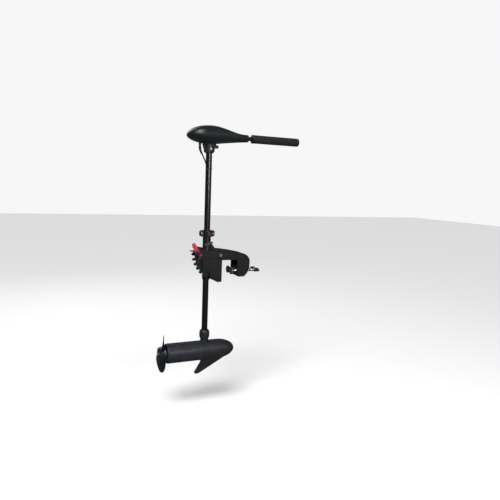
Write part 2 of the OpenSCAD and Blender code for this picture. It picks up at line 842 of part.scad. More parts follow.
module motor_bearings() color(steel) at_pod()
  for (x = [30, -casing_back - 3]) bearing(x, 9, 5 + running_fit);

module shaft_seal() color("#151515") at_pod()
  xring(11, 5 + running_fit, -casing_back - 10, -casing_back - 5);

module brush_holder() color("#6a4a32") at_pod() difference() {
  xcyl(inner_r, -166, -162);
  xcyl(15, -167, -161);
  for (s = [-1, 1]) xcyl(3, -167, -161, s * bolt_at, 0);
}

module brushes() color("#3c3c3c") at_pod() for (s = [-1, 1])
  block([-161.8, s > 0 ? 13.5 : -27, -4], [-152, s > 0 ? 27 : -13.5, 4]);

module armature_core() color("#8d9094") at_pod() difference() {
  xring(27, 5, -126, -56);
  for (a = [0:30:330]) rotate([a, 0, 0]) block([-127, -2, 20], [-55, 2, 28]);
}

module armature_windings() color("#b3672f") at_pod() for (x = [-138, -56])
  xring(24, 6, x, x + 12);

module commutator() color("#b87333") at_pod() difference() {
  xring(13, 5, -160, -139);
  for (a = [0:30:330]) rotate([a, 0, 0]) block([-161, -0.4, 11.5], [-142, 0.4, 14]);
}

module motor_shaft() color(steel) at_pod() difference() {
  xcyl(5, -226, 38);
  ycyl(2, -15, 15, -204, 0);
}

module drive_pin() color(steel) at_pod() ycyl(2, -14, 14, -204, 0);

// ---- propeller ---------------------------------------------------------

hub_front = -187.5;
hub_back = -218;
hub_mid = -203;

// Chord of the blade at a radius: broad belly, narrowing to the tip
function chord_at(r) = let (u = (r - 30) / (prop_r - 30))
  blade_chord * (0.62 + 1.1 * u - 0.75 * u * u - 0.6 * pow(u, 4));

module blade() {
  radii = [for (i = [0:11]) 26 + (prop_r - 26) * i / 11];
  steps = 8;
  ring = 2 * steps;
  points = [for (r = radii) let (b = atan(2 * PI * r / prop_pitch),
    c = chord_at(r), t = 7 - 4.4 * (r - 26) / (prop_r - 26))
    for (j = [0:ring - 1]) let (
      s = j < steps ? j / steps : (ring - j) / steps,
      along = (s - 0.5) * c,
      off = (j < steps ? 1 : -1) * t * sqrt(max(s * (1 - s), 0)),
      swing = (along * sin(b) + off * cos(b)) / r * 180 / PI)
    [hub_mid + along * cos(b) - off * sin(b), r * sin(swing), r * cos(swing)]];
  n = len(radii);
  faces = concat([[for (j = [ring - 1:-1:0]) j]],
    [for (i = [0:n - 2]) for (j = [0:ring - 1]) for (h = [0, 1])
      let (k = (j + 1) % ring, a = i * ring + j, b = i * ring + k,
        c = a + ring, d = b + ring)
      h == 0 ? [a, b, c] : [b, d, c]],
    [[for (j = [0:ring - 1]) (n - 1) * ring + j]]);
  polyhedron(points, faces, convexity = 4);
}

module propeller() color("#1a2530") at_pod() difference() {
  union() {
    translate([hub_back, 0, 0]) rotate([0, 90, 0])
      cylinder(r1 = 31, r2 = 38, h = hub_front - hub_back);
    for (a = [0, 180]) rotate([a + prop_angle, 0, 0]) blade();
  }
  xcyl(5, -230, -180);
  ycyl(2, -15, 15, -204, 0);
  xcyl(14, -230, -214);
}

module prop_washer() color(steel) at_pod() xring(11, 5, -216, -214);

module prop_nut() color(steel) at_pod() difference() {
  translate([-224, 0, 0]) rotate([0, 90, 0]) cylinder(r = 9, h = 8, $fn = 6);
  xcyl(5, -230, -215);
}

head_top_cover();
head_housing();
head_screws();
speed_switch();
terminal_block();
speed_sleeve();
tiller_bushing();
tiller_rod();
tiller_grip();
grip_end_cap();
neck_socket();
neck_bolt();
neck_knob();
cable_gland();
battery_cable();
cable_hank();
battery_plug();
cable_ties();
shaft_tube();
motor_leads();
collar_near_half();
collar_far_half();
collar_screws();
depth_knob();
tilt_yoke();
steering_bushings();
steering_knob();
steering_pad();
clamp_bracket();
pivot_bolt();
pivot_nut();
tilt_lever();
lever_pin();
lock_pin();
lock_spring();
clamp_screw_port();
clamp_knob_port();
clamp_pad_port();
clamp_screw_starboard();
clamp_knob_starboard();
clamp_pad_starboard();
shaft_boot();
nose_casting();
motor_casing();
rear_end_cap();
case_seals();
through_bolts();
magnets();
motor_bearings();
shaft_seal();
brush_holder();
brushes();
armature_core();
armature_windings();
commutator();
motor_shaft();
drive_pin();
propeller();
prop_washer();
prop_nut();
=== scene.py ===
"""Looks of the trolling motor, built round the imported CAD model.

Metres, +X into the boat, +Y to port, +Z up. Profiles of the head, the lead and the propeller are in millimetres.
"""
import math
import json

import bpy
import bmesh
from mathutils import Matrix, Vector


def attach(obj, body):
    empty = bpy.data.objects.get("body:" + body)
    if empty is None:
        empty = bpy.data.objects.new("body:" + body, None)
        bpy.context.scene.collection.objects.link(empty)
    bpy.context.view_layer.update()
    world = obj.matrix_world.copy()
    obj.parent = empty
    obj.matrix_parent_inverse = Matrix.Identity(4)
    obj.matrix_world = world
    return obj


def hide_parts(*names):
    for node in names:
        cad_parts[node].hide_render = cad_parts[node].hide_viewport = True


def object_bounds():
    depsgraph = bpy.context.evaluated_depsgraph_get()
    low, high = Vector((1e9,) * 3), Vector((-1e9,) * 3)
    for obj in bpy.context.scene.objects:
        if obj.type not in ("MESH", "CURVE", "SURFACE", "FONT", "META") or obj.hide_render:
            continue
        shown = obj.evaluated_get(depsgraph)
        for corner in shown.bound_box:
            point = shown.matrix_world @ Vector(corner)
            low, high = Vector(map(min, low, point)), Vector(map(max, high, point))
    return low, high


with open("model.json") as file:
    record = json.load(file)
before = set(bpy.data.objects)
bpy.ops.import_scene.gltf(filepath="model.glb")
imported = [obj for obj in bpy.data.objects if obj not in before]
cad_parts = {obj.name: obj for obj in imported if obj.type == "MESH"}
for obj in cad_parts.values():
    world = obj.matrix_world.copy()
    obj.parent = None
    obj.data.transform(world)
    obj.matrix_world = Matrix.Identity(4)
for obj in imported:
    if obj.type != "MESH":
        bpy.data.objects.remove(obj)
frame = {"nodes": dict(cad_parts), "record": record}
CAD_LOW, CAD_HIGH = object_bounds()
MM = 0.001
SHAFT_X, SEAM_Z, POD_Z = -0.062, 0.610, -0.384


# ---- camera ------------------------------------------------------------------

# Azimuth, pitch and roll in degrees
CAMERA_TURN, CAMERA_PLACE = (-24.509, 7.362, 2.166), (-0.8251, -2.1579, 0.3953)


def make_camera():
    azimuth, pitch, roll = (math.radians(a) for a in CAMERA_TURN)
    back = Vector((math.sin(azimuth) * math.cos(pitch), -math.cos(azimuth) * math.cos(pitch), math.sin(pitch)))
    right = Vector((math.cos(azimuth), math.sin(azimuth), 0))
    up = back.cross(right)
    rolled_right = math.cos(roll) * right + math.sin(roll) * up
    rolled_up = -math.sin(roll) * right + math.cos(roll) * up
    data = bpy.data.cameras.new("camera")
    data.lens, data.sensor_width = 35.84, 36
    data.clip_start, data.clip_end = 0.05, 60
    cam = bpy.data.objects.new("camera", data)
    bpy.context.scene.collection.objects.link(cam)
    turn = Matrix((rolled_right, rolled_up, back)).transposed().to_4x4()
    cam.matrix_world = Matrix.Translation(CAMERA_PLACE) @ turn
    bpy.context.scene.camera = cam


make_camera()


# ---- materials -----------------------------------------------------------------

def material(name, colour, rough=0.5, metallic=0.0, grain=900, bump=0.12, vary=0.25, coat=0.0,
             streak=None, wear=None, fine=0.0, gloss=0.5, painted_shade_below=None):
    """Moulded or metal surface: mottled colour, a roughness that varies, and grain from noise.

    streak stretches the pattern, wear is the colour of rubbed edges, fine adds a second grain,
    and the last argument, (low, high, colour), blends to a darker copy of the colour below a height, as painted
    shade.
    """
    mat = bpy.data.materials.new(name)
    mat.use_nodes = True
    tree = mat.node_tree
    tree.nodes.clear()
    out = tree.nodes.new("ShaderNodeOutputMaterial")
    shader = tree.nodes.new("ShaderNodeBsdfPrincipled")
    tree.links.new(shader.outputs[0], out.inputs[0])
    shader.inputs["Metallic"].default_value = metallic
    shader.inputs["Specular IOR Level"].default_value = gloss
    if coat:
        shader.inputs["Coat Weight"].default_value = coat
        shader.inputs["Coat Roughness"].default_value = 0.18
    place = tree.nodes.new("ShaderNodeTexCoord")
    stretch = tree.nodes.new("ShaderNodeMapping")
    stretch.inputs["Scale"].default_value = streak or (1, 1, 1)
    tree.links.new(place.outputs["Object"], stretch.inputs[0])

    def noise(scale, detail, roughness=0.55):
        node = tree.nodes.new("ShaderNodeTexNoise")
        node.inputs["Scale"].default_value = scale
        node.inputs["Detail"].default_value = detail
        node.inputs["Roughness"].default_value = roughness
        tree.links.new(stretch.outputs[0], node.inputs["Vector"])
        return node

    cloud = noise(38, 5)
    ramp = tree.nodes.new("ShaderNodeValToRGB")
    low = [c * (1 - vary) for c in colour]
    high = [min(1, c * (1 + vary)) for c in colour]
    ramp.color_ramp.elements[0].position, ramp.color_ramp.elements[1].position = 0.3, 0.72
    ramp.color_ramp.elements[0].color = (*low, 1)
    ramp.color_ramp.elements[1].color = (*high, 1)
    tree.links.new(cloud.outputs["Fac"], ramp.inputs[0])
    base = ramp.outputs[0]
    if wear:
        edge = tree.nodes.new("ShaderNodeNewGeometry")
        pick = tree.nodes.new("ShaderNodeMapRange")
        pick.inputs["From Min"].default_value, pick.inputs["From Max"].default_value = 0.54, 0.66
        pick.inputs["To Max"].default_value = 0.6
        mix = tree.nodes.new("ShaderNodeMix")
        mix.data_type = "RGBA"
        mix.inputs["B"].default_value = (*wear, 1)
        tree.links.new(edge.outputs["Pointiness"], pick.inputs["Value"])
        tree.links.new(pick.outputs[0], mix.inputs["Factor"])
        tree.links.new(base, mix.inputs["A"])
        base = mix.outputs["Result"]
    # painted shade: below the given height the colour turns to a darker copy of itself
    if painted_shade_below:
        split, height = tree.nodes.new("ShaderNodeSeparateXYZ"), tree.nodes.new("ShaderNodeMapRange")
        height.inputs["From Min"].default_value, height.inputs["From Max"].default_value = painted_shade_below[0], painted_shade_below[1]
        blend = tree.nodes.new("ShaderNodeMix")
        blend.data_type = "RGBA"
        blend.inputs["A"].default_value = (*painted_shade_below[2], 1)
        tree.links.new(place.outputs["Object"], split.inputs[0])
        tree.links.new(split.outputs["Z"], height.inputs["Value"])
        tree.links.new(height.outputs[0], blend.inputs["Factor"])
        tree.links.new(base, blend.inputs["B"])
        base = blend.outputs["Result"]
    tree.links.new(base, shader.inputs["Base Color"])
    span = tree.nodes.new("ShaderNodeMapRange")
    span.inputs["To Min"].default_value = max(0.04, rough - 0.09)
    span.inputs["To Max"].default_value = min(1, rough + 0.09)
    tree.links.new(noise(110, 4).outputs["Fac"], span.inputs["Value"])
    tree.links.new(span.outputs[0], shader.inputs["Roughness"])
    rise = tree.nodes.new("ShaderNodeBump")
    rise.inputs["Strength"].default_value = bump
    rise.inputs["Distance"].default_value = 0.0004
    tree.links.new(noise(grain, 3, 0.6).outputs["Fac"], rise.inputs["Height"])
    last = rise
    if fine:
        weave = tree.nodes.new("ShaderNodeTexVoronoi")
        weave.inputs["Scale"].default_value = fine
        tree.links.new(stretch.outputs[0], weave.inputs["Vector"])
        second = tree.nodes.new("ShaderNodeBump")
        second.inputs["Strength"].default_value = bump * 0.8
        second.inputs["Distance"].default_value = 0.0003
        tree.links.new(weave.outputs["Distance"], second.inputs["Height"])
        tree.links.new(rise.outputs[0], second.inputs["Normal"])
        last = second
    tree.links.new(last.outputs[0], shader.inputs["Normal"])
    return mat


# Noise stretched along Z, as on drawn steel
BRUSH = (1, 1, 0.04)
MATS = {
    "head_plastic": material("head_plastic", (0.0072, 0.0098, 0.0106), 0.37, grain=1500, bump=0.35, fine=900,
                             gloss=0.45, wear=(0.05, 0.056, 0.058)),
    "socket_plastic": material("socket_plastic", (0.02, 0.014, 0.016), 0.38, grain=900, bump=0.3, gloss=0.4,
                               wear=(0.1, 0.09, 0.09)),
    "bracket_plastic": material("bracket_plastic", (0.0042, 0.0044, 0.005), 0.42, grain=1500, bump=0.2, fine=1500,
                                gloss=0.36, wear=(0.03, 0.031, 0.033)),
    # painted shade: the lever's lower part, beside the bracket, is a darker copy of its red
    "lever_red": material("lever_red", (0.40, 0.028, 0.055), 0.38, grain=900, bump=0.2, vary=0.2, coat=0.15,
                          gloss=0.4, painted_shade_below=(0.088, 0.101, (0.085, 0.006, 0.012))),
    "knob_maroon": material("knob_maroon", (0.055, 0.009, 0.013), 0.38, grain=900, bump=0.25, coat=0.1, gloss=0.4,
                            wear=(0.24, 0.06, 0.065)),
    "knob_grey": material("knob_grey", (0.03, 0.031, 0.034), 0.45, grain=900, bump=0.3, gloss=0.35,
                          wear=(0.085, 0.086, 0.09)),
    "nylon": material("nylon", (0.5, 0.49, 0.44), 0.45, grain=700, bump=0.2, vary=0.08),
    "shaft_black": material("shaft_black", (0.0028, 0.0022, 0.0026), 0.3, grain=200, bump=0.02, streak=(1, 1, 0.12),
                            coat=0.35, gloss=0.4),
    "pod_paint": material("pod_paint", (0.0115, 0.0125, 0.0155), 0.44, grain=900, bump=0.3, coat=0.06, gloss=0.35,
                          wear=(0.06, 0.062, 0.068)),
    "tube_paint": material("tube_paint", (0.014, 0.0155, 0.019), 0.42, grain=1100, bump=0.25, coat=0.06,
                           gloss=0.35),
    "cap_paint": material("cap_paint", (0.0095, 0.0115, 0.0165), 0.42, grain=900, bump=0.3, coat=0.06, gloss=0.35,
                          wear=(0.055, 0.06, 0.07)),
    "grip_rubber": material("grip_rubber", (0.0038, 0.005, 0.0055), 0.5, grain=1600, bump=0.45, fine=1300,
                            gloss=0.45),
    "rod_paint": material("rod_paint", (0.0062, 0.0062, 0.007), 0.32, metallic=0.3, grain=600, bump=0.1,
                          streak=(0.05, 1, 1), gloss=0.4),
    "cable_jacket": material("cable_jacket", (0.016, 0.0045, 0.007), 0.42, grain=1400, bump=0.2, gloss=0.4),
    "plug_plastic": material("plug_plastic", (0.011, 0.011, 0.012), 0.42, grain=1200, bump=0.3, gloss=0.4,
                             wear=(0.05, 0.05, 0.05)),
    "prop_plastic": material("prop_plastic", (0.0036, 0.0068, 0.012), 0.34, grain=900, bump=0.15, coat=0.12,
                             gloss=0.4),
    "steel": material("steel", (0.62, 0.63, 0.65), 0.27, metallic=1.0, grain=500, bump=0.15, vary=0.08,
                      streak=BRUSH),
    "black_steel": material("black_steel", (0.022, 0.022, 0.025), 0.34, metallic=0.6, grain=600, bump=0.15,
                            wear=(0.16, 0.16, 0.17)),
    "bearing_steel": material("bearing_steel", (0.5, 0.51, 0.53), 0.2, metallic=1.0, grain=500, bump=0.08,
                              vary=0.06),
    "seal_rubber": material("seal_rubber", (0.009, 0.009, 0.0095), 0.6, grain=1200, bump=0.3, gloss=0.35),
    "magnet": material("magnet", (0.05, 0.05, 0.053), 0.55, grain=800, bump=0.3),
    "core_steel": material("core_steel", (0.28, 0.29, 0.3), 0.4, metallic=0.9, grain=300, bump=0.3,
                           streak=(12, 0.2, 0.2)),
    "copper": material("copper", (0.55, 0.22, 0.09), 0.33, metallic=1.0, grain=700, bump=0.4, streak=(3, 1, 1)),
    "carbon": material("carbon", (0.03, 0.03, 0.031), 0.5, grain=900, bump=0.2),
    "phenolic": material("phenolic", (0.18, 0.075, 0.035), 0.45, grain=800, bump=0.2),
    "switch_plastic": material("switch_plastic", (0.06, 0.065, 0.07), 0.5, grain=900, bump=0.25),
}
SLOT_OF = {s["node"]: s["material_slot"] for s in frame["record"]["subparts"]}


# ---- mesh helpers -----------------------------------------------------------------

def add_object(name, points, faces, body, slot, smooth=True):
    mesh = bpy.data.meshes.new(name)
    mesh.from_pydata([tuple(p) for p in points], [], faces)
    mesh.validate()
    made = bmesh.new()
    made.from_mesh(mesh)
    bmesh.ops.remove_doubles(made, verts=made.verts, dist=1e-6)
    bmesh.ops.recalc_face_normals(made, faces=made.faces)
    made.to_mesh(mesh)
    made.free()
    if smooth:
        mesh.polygons.foreach_set("use_smooth", [True] * len(mesh.polygons))
        mesh.set_sharp_from_angle(angle=math.radians(38))
    mesh.materials.append(MATS[slot])
    obj = bpy.data.objects.new(name, mesh)
    bpy.context.scene.collection.objects.link(obj)
    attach(obj, body)
    return obj


def grid_faces(rows, columns, wrap=True, start=0):
    """Quads of a grid of rows by columns; wrap joins the last column to the first."""
    faces = []
    for i in range(rows - 1):
        for j in range(columns if wrap else columns - 1):
            k = (j + 1) % columns
            a, b = start + i * columns, start + (i + 1) * columns
            faces.append((a + j, a + k, b + k, b + j))
    return faces


def lathe(profile, segments=64, axis="x", at=(0, 0, 0), shape=None):
    """Points and faces of a closed profile [(radius, along)] turned about an axis.

    shape(angle, r, s) may change the radius.
    """
    points, faces = [], []
    for r, s in profile:
        for j in range(segments):
            angle = 2 * math.pi * j / segments
            rr = shape(angle, r, s) if shape else r
            u, v = rr * math.cos(angle), rr * math.sin(angle)
            p = {"x": (s, u, v), "y": (u, s, v), "z": (u, v, s)}[axis]
            points.append((p[0] + at[0], p[1] + at[1], p[2] + at[2]))
    n = len(profile)
    for i in range(n):
        k = (i + 1) % n
        if profile[i][0] < 1e-7 and profile[k][0] < 1e-7:
            continue
        for j in range(segments):
            m = (j + 1) % segments
            faces.append((i * segments + j, i * segments + m, k * segments + m, k * segments + j))
    return points, faces


def rounded(corners, radius, steps=3):
    """A closed outline with its corners rounded off."""
    out, n = [], len(corners)
    for i in range(n):
        p, a, b = (Vector(corners[k]) for k in (i, i - 1, (i + 1) % n))
        to_a, to_b = (a - p), (b - p)
        cut = min(radius, to_a.length * 0.45, to_b.length * 0.45)
        s, e = p + to_a.normalized() * cut, p + to_b.normalized() * cut
        for k in range(steps + 1):
            t = k / steps
            out.append((s * (1 - t) ** 2 + p * 2 * t * (1 - t) + e * t * t)[:])
    return out


def prism(outline, low, high, axis="y"):
    """Points and faces of an outline [(u, v)] extruded between low and high along an axis."""
    n = len(outline)
    points = []
    for w in (low, high):
        for u, v in outline:
            points.append({"y": (u, w, v), "z": (u, v, w), "x": (w, u, v)}[axis])
    faces = [tuple(range(n)), tuple(range(2 * n - 1, n - 1, -1))]
    faces += [(i, (i + 1) % n, n + (i + 1) % n, n + i) for i in range(n)]
    return points, faces


def merge(*shapes):
    points, faces = [], []
    for p, f in shapes:
        base = len(points)
        points += [tuple(q) for q in p]
        faces += [tuple(base + i for i in face) for face in f]
    return points, faces


def moved(shape, matrix):
    return [tuple(matrix @ Vector(p)) for p in shape[0]], shape[1]


def bevel(obj, width=0.0008, segments=3, angle=30):
    mod = obj.modifiers.new("bevel", "BEVEL")
    mod.width, mod.segments = width, segments
    mod.limit_method, mod.angle_limit = "ANGLE", math.radians(angle)
    mod.use_clamp_overlap = True
    normals = obj.modifiers.new("normals", "WEIGHTED_NORMAL")
    normals.keep_sharp = False


# ---- battery cable -----------------------------------------------------------------

CABLE_D = 0.006
# A point of the hank is (out, across, up): out from the tube at the angle OUT from +X, across that, and up
OUT = math.radians(70.5)
RUN_NEAR, RUN_FAR, LOOP_TOP, LOOP_LOW = 18.0, 54.0, 452.0, 376.0
HANK_TURNS, PITCH = 4, 6.1
LEAD = [(-44, 0, 566), (-44, 0, 562), (-43.5, 0, 553), (-41, 1, 544), (-37, 2.5, 536), (-32, 4, 529), (-26, 7, 520),
        (-19.5, 11, 510), (-13, 15.5, 500), (-8, 18.5, 490), (-4.5, 20, 480), (-2.8, 20.5, 470), (-2.5, 20.4, 461)]
TO_PLUG = [(54, 9.15, 386), (54.4, 9.1, 396), (56.6, 8.8, 406), (60, 7.4, 416), (63, 5.2, 426), (65.4, 3.5, 436),
           (66, 3, 445.5)]


def hank_point(o, t, z):
    return (o * math.cos(OUT) + t * math.sin(OUT), o * math.sin(OUT) - t * math.cos(OUT), z)


def cable_route():
    route = list(LEAD)
    mid, r = (RUN_NEAR + RUN_FAR) / 2, (RUN_FAR - RUN_NEAR) / 2
    for turn in range(HANK_TURNS):
        t = -1.5 * PITCH + turn * PITCH
        for k in range(7):
            route.append(hank_point(RUN_NEAR, t, LOOP_TOP - (LOOP_TOP - LOOP_LOW) * k / 6))
        for k in range(1, 12):
            a = math.pi * k / 12
            route.append(hank_point(mid - r * math.cos(a), t, LOOP_LOW - r * math.sin(a)))
        if turn == HANK_TURNS - 1:
            break
        for k in range(7):
            route.append(hank_point(RUN_FAR, t, LOOP_LOW + (LOOP_TOP - LOOP_LOW) * k / 6))
        for k in range(1, 12):
            a = math.pi * k / 12
            route.append(hank_point(mid + r * math.cos(a), t + PITCH * k / 12, LOOP_TOP + r * math.sin(a)))
    route.append(hank_point(RUN_FAR, 1.5 * PITCH, LOOP_LOW))
    route += [hank_point(*p) for p in TO_PLUG]
    return [(x * MM + SHAFT_X, y * MM, z * MM) for x, y, z in route]


def make_cable():
    route = cable_route()
    data = bpy.data.curves.new("battery_lead", "CURVE")
    data.dimensions = "3D"
    data.bevel_depth, data.bevel_resolution, data.use_fill_caps = CABLE_D / 2, 5, True
    line = data.splines.new("POLY")
    line.points.add(len(route) - 1)
    for point, place in zip(line.points, route):
        point.co = (*place, 1)
    line.use_smooth = True
    data.materials.append(MATS["cable_jacket"])
    cable = bpy.data.objects.new("battery_lead", data)
    bpy.context.scene.collection.objects.link(cable)
    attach(cable, "shaft")
    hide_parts("battery_cable", "cable_hank")
    length = sum((Vector(a) - Vector(b)).length for a, b in zip(route, route[1:]))
    return cable, route, length


HANK_TURN = Matrix.Translation((SHAFT_X, 0, 0)) @ Matrix.Rotation(OUT - math.pi / 2, 4, "Z")


def block_outline(x0, x1, y0, y1, radius):
    """Rectangle with rounded corners."""
    return rounded([(x0, y0), (x1, y0), (x1, y1), (x0, y1)], radius)


def make_plug():
    """Two-contact plug: a shell with finger ridges, two sockets and a ribbed strain relief."""
    low, high = 0.446, 0.488
    shell = prism(block_outline(-0.0072, 0.0132, 0.058, 0.0734, 0.0025), low + 0.006, high - 0.004, "z")
    nose = prism(block_outline(-0.007, 0.013, 0.059, 0.073, 0.002), high - 0.0045, high, "z")
    ridges = [prism(block_outline(-0.0078, 0.0138, 0.060, 0.072, 0.0015), z, z + 0.0014, "z")
              for z in (0.456, 0.4595, 0.463, 0.4665, 0.470)]
    rings = [(0.0046 + 0.0006 * (k % 2) + 0.0002 * k, 0.444 + 0.0009 * k) for k in range(11)]
    rings = [(0.0, 0.444), *rings, (0.0, 0.4539)]
    relief = lathe(rings, 32, "z", (0.003, 0.066, 0))
    plug = add_object("plug_shell", *moved(merge(shell, nose, relief, *ridges), HANK_TURN), "shaft", "plug_plastic")
    bevel(plug, 0.0006, 2)
    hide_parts("battery_plug")
    pins = []
    for t in (-0.003, 0.009):
        ring = [(0.0022, high - 0.002), (0.003, high - 0.002), (0.003, high + 0.0004), (0.0022, high + 0.0004)]
        pins.append(lathe(ring, 28, "z", (t, 0.066, 0)))
    contacts = add_object("plug_contacts", *moved(merge(*pins), HANK_TURN), "shaft", "steel")
    return plug, contacts


def make_ties():
    shapes = []
    for low, depth, wide in ((0.395, 0.0574, 0.0), (0.462, 0.0746, 0.0019)):
        outline = []
        for k in range(25):
            a = math.radians(200 + 140 * k / 24)
            outline.append((0.0146 * math.cos(a), 0.0146 * math.sin(a)))
        outline += [(0.0129 + wide, 0.030), (0.0129 + wide, depth - 0.003), (0.0105 + wide, depth + 0.0004),
                    (-0.0105, depth + 0.0004), (-0.0129, depth - 0.003), (-0.0129, 0.030)]
        n = len(outline)
        points, faces = [], []
        for i, (x, y) in enumerate(outline):
            before, after = Vector(outline[i - 1]), Vector(outline[(i + 1) % n])
            along = (after - before).normalized()
            normal = Vector((along.y, -along.x))
            for off, z in ((0, low), (0.0011, low + 0.0003), (0.0011, low + 0.0033), (0, low + 0.0036)):
                points.append((x + normal.x * off, y + normal.y * off, z))
        for i in range(n):
            k = (i + 1) % n
            faces += [(i * 4 + j, i * 4 + (j + 1) % 4, k * 4 + (j + 1) % 4, k * 4 + j) for j in range(4)]
        head = prism(block_outline(-0.0062, 0.0002, depth + 0.0002, depth + 0.0036, 0.001),
                     low - 0.0012, low + 0.0048, "z")
        shapes += [(points, faces), head]
    ties = add_object("tie_bands", *moved(merge(*shapes), HANK_TURN), "shaft", "plug_plastic")
    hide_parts("cable_ties")
    return ties


cable, cable_points, cable_length = make_cable()
plug, contacts = make_plug()
ties = make_ties()


# ---- head --------------------------------------------------------------------

HEAD_R, ROUND_BACK, TAIL, CROWN, BELLY, TAIL_R = 70.0, 34.0, 185.0, 46.0, 38.0, 17.5
FLANK = math.asin((HEAD_R - TAIL_R) / (TAIL + ROUND_BACK))
FLANK_X = -ROUND_BACK + HEAD_R * math.sin(FLANK)
HEAD_BACK = HEAD_R + ROUND_BACK


def plan(x):
    if x < FLANK_X:
        return math.sqrt(max(HEAD_R ** 2 - (x + ROUND_BACK) ** 2, 0))
    return HEAD_R * math.cos(FLANK) - (x - FLANK_X) * math.tan(FLANK)


def rear_curve(x):
    return math.sqrt(max(1 - ((x - 10) / (HEAD_BACK + 10)) ** 2, 0))


def crown(x):
    if x < 10:
        return CROWN * rear_curve(x)
    return TAIL_R + (CROWN - TAIL_R) * (1 + math.cos(math.radians(min(180, (x - 10) * 1.09)))) / 2


def belly(x):
    if x < 10:
        return BELLY * rear_curve(x)
    return TAIL_R + (BELLY - TAIL_R) * max(1 - (x - 10) / (TAIL - 10), 0) ** 1.2


def smooth_step(a, b, x):
    t = min(max((x - a) / (b - a), 0), 1)
    return t * t * (3 - 2 * t)


def shell_half(side, rim):
    """One thick shell. Along each section it carries a rim bead at the seam and, on top, a sunk border line."""
    rear = [(-HEAD_BACK + 0.3) + 80 * (k / 26) ** 2 for k in range(27)]
    xs = rear + [rear[-1] + (TAIL - rear[-1]) * k / 60 for k in range(1, 61)]
    arc = 56
    layers = []
    for inset in (0.0, 2.6):
        rows = []
        for x in xs:
            w = max(plan(x) - inset, 0.35)
            h = max((crown(x) if side > 0 else belly(x)) - inset - 0.65, 0.35)
            row = []
            for j in range(arc + 1):
                t = math.pi * (0.3 * j / arc + 0.35 * (1 - math.cos(math.pi * j / arc)))
                s = max(math.sin(t), 0) ** 0.9
                grow = 0.0
                if inset == 0.0:
                    lip = 1 - smooth_step(0.05, 0.11, s)
                    grow += 0.7 * lip * smooth_step(0, 12, x + HEAD_BACK)
                    grow -= 1.5 * max(1 - s / 0.026, 0) * smooth_step(0, 12, x + HEAD_BACK)
                    if side > 0:
                        groove = math.exp(-((s - 0.36) / 0.03) ** 2) * smooth_step(8, 30, x + HEAD_BACK)
                        grow -= 0.9 * groove * (1 - smooth_step(130, 150, x))
                        field = smooth_step(0.36, 0.5, s) * smooth_step(8, 40, x + HEAD_BACK)
                        grow += 0.5 * field * (1 - smooth_step(110, 150, x))
                y, z = (w + grow) * math.cos(t), side * (h + grow * 0.6) * s
                z += side * rim
                row.append((x * MM + SHAFT_X, y * MM, z * MM + SEAM_Z))
            rows.append(row)
        layers.append(rows)
    columns, count = arc + 1, len(xs)
    points = [p for rows in layers for row in rows for p in row]
    inner = count * columns
    faces = grid_faces(count, columns, wrap=False) + grid_faces(count, columns, wrap=False, start=inner)
    for i in range(count - 1):
        for j in (0, arc):
            a, b = i * columns + j, (i + 1) * columns + j
            faces.append((a, b, b + inner, a + inner))
    for i in (0, count - 1):
        for j in range(arc):
            a = i * columns + j
            faces.append((a, a + 1, a + 1 + inner, a + inner))
    return points, faces


def cut_away(obj, cutters):
    """Takes closed cutter shapes out of obj for good."""
    for k, (points, faces) in enumerate(cutters):
        mesh = bpy.data.meshes.new("cutter")
        mesh.from_pydata(points, [], faces)
        bm = bmesh.new()
        bm.from_mesh(mesh)
        bmesh.ops.remove_doubles(bm, verts=bm.verts, dist=1e-7)
        bmesh.ops.recalc_face_normals(bm, faces=bm.faces)
        bm.to_mesh(mesh)
        bm.free()
        tool = bpy.data.objects.new("cutter", mesh)
        bpy.context.scene.collection.objects.link(tool)
        mod = obj.modifiers.new(f"cut{k}", "BOOLEAN")
        mod.operation, mod.object, mod.solver = "DIFFERENCE", tool, "EXACT"
        bpy.context.view_layer.update()
        solid = bpy.data.meshes.new_from_object(obj.evaluated_get(bpy.context.evaluated_depsgraph_get()))
        obj.modifiers.clear()
        obj.data = solid
        bpy.data.objects.remove(tool)


def rod(radius, low, high, axis="z", at=(0, 0, 0), segments=48):
    return lathe([(0, low), (radius, low), (radius, high), (0, high)], segments, axis, at)


SLEEVE_HOLE, SOCKET_HOLE, GLAND_HOLE, SCREW_HOLE = 0.0147, 0.0331, 0.0051, 0.0041
sleeve_bore = rod(SLEEVE_HOLE, SHAFT_X + 0.146, SHAFT_X + 0.19, "x", (0, 0, SEAM_Z))
top = add_object("head_top", *shell_half(1, 0.25), "shaft", "head_plastic")
cut_away(top, [sleeve_bore])
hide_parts("head_top_cover")
under = add_object("head_under", *shell_half(-1, 0.0), "shaft", "head_plastic")
POSTS = [(-72, 30), (-72, -30), (62, 32), (62, -32)]
cut_away(under, [sleeve_bore,
                 rod(SOCKET_HOLE, SEAM_Z - 0.06, SEAM_Z - 0.026, "z", (SHAFT_X, 0, 0)),
                 rod(GLAND_HOLE, SEAM_Z - 0.06, SEAM_Z - 0.012, "z", (SHAFT_X - 0.044, 0, 0))]
         + [rod(SCREW_HOLE, SEAM_Z - 0.06, SEAM_Z - 0.0115, "z", (SHAFT_X + x * MM, y * MM, 0)) for x, y in POSTS])
WELL = [(0.0021, -0.0105), (0.0062, -0.0105), (0.0062, -0.002), (0.0021, -0.002)]
wells = [lathe(WELL, 32, "z", (SHAFT_X + x * MM, y * MM, SEAM_Z)) for x, y in POSTS]
add_object("head_screw_wells", *merge(*wells), "shaft", "head_plastic")
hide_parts("head_housing")


# ---- tiller ------------------------------------------------------------------

GRIP_RIBS, GRIP_GROOVE = 36, 0.0007


def grip_shape(angle, r, s):
    """Rounded lengthwise ribs on the body of the grip, none on its collar and end."""
    here = smooth_step(0.219, 0.223, s - SHAFT_X) * (1 - smooth_step(0.434, 0.437, s - SHAFT_X))
    return r - here * GRIP_GROOVE * (1 - abs(math.cos(GRIP_RIBS / 2 * angle))) if r > 0.017 else r


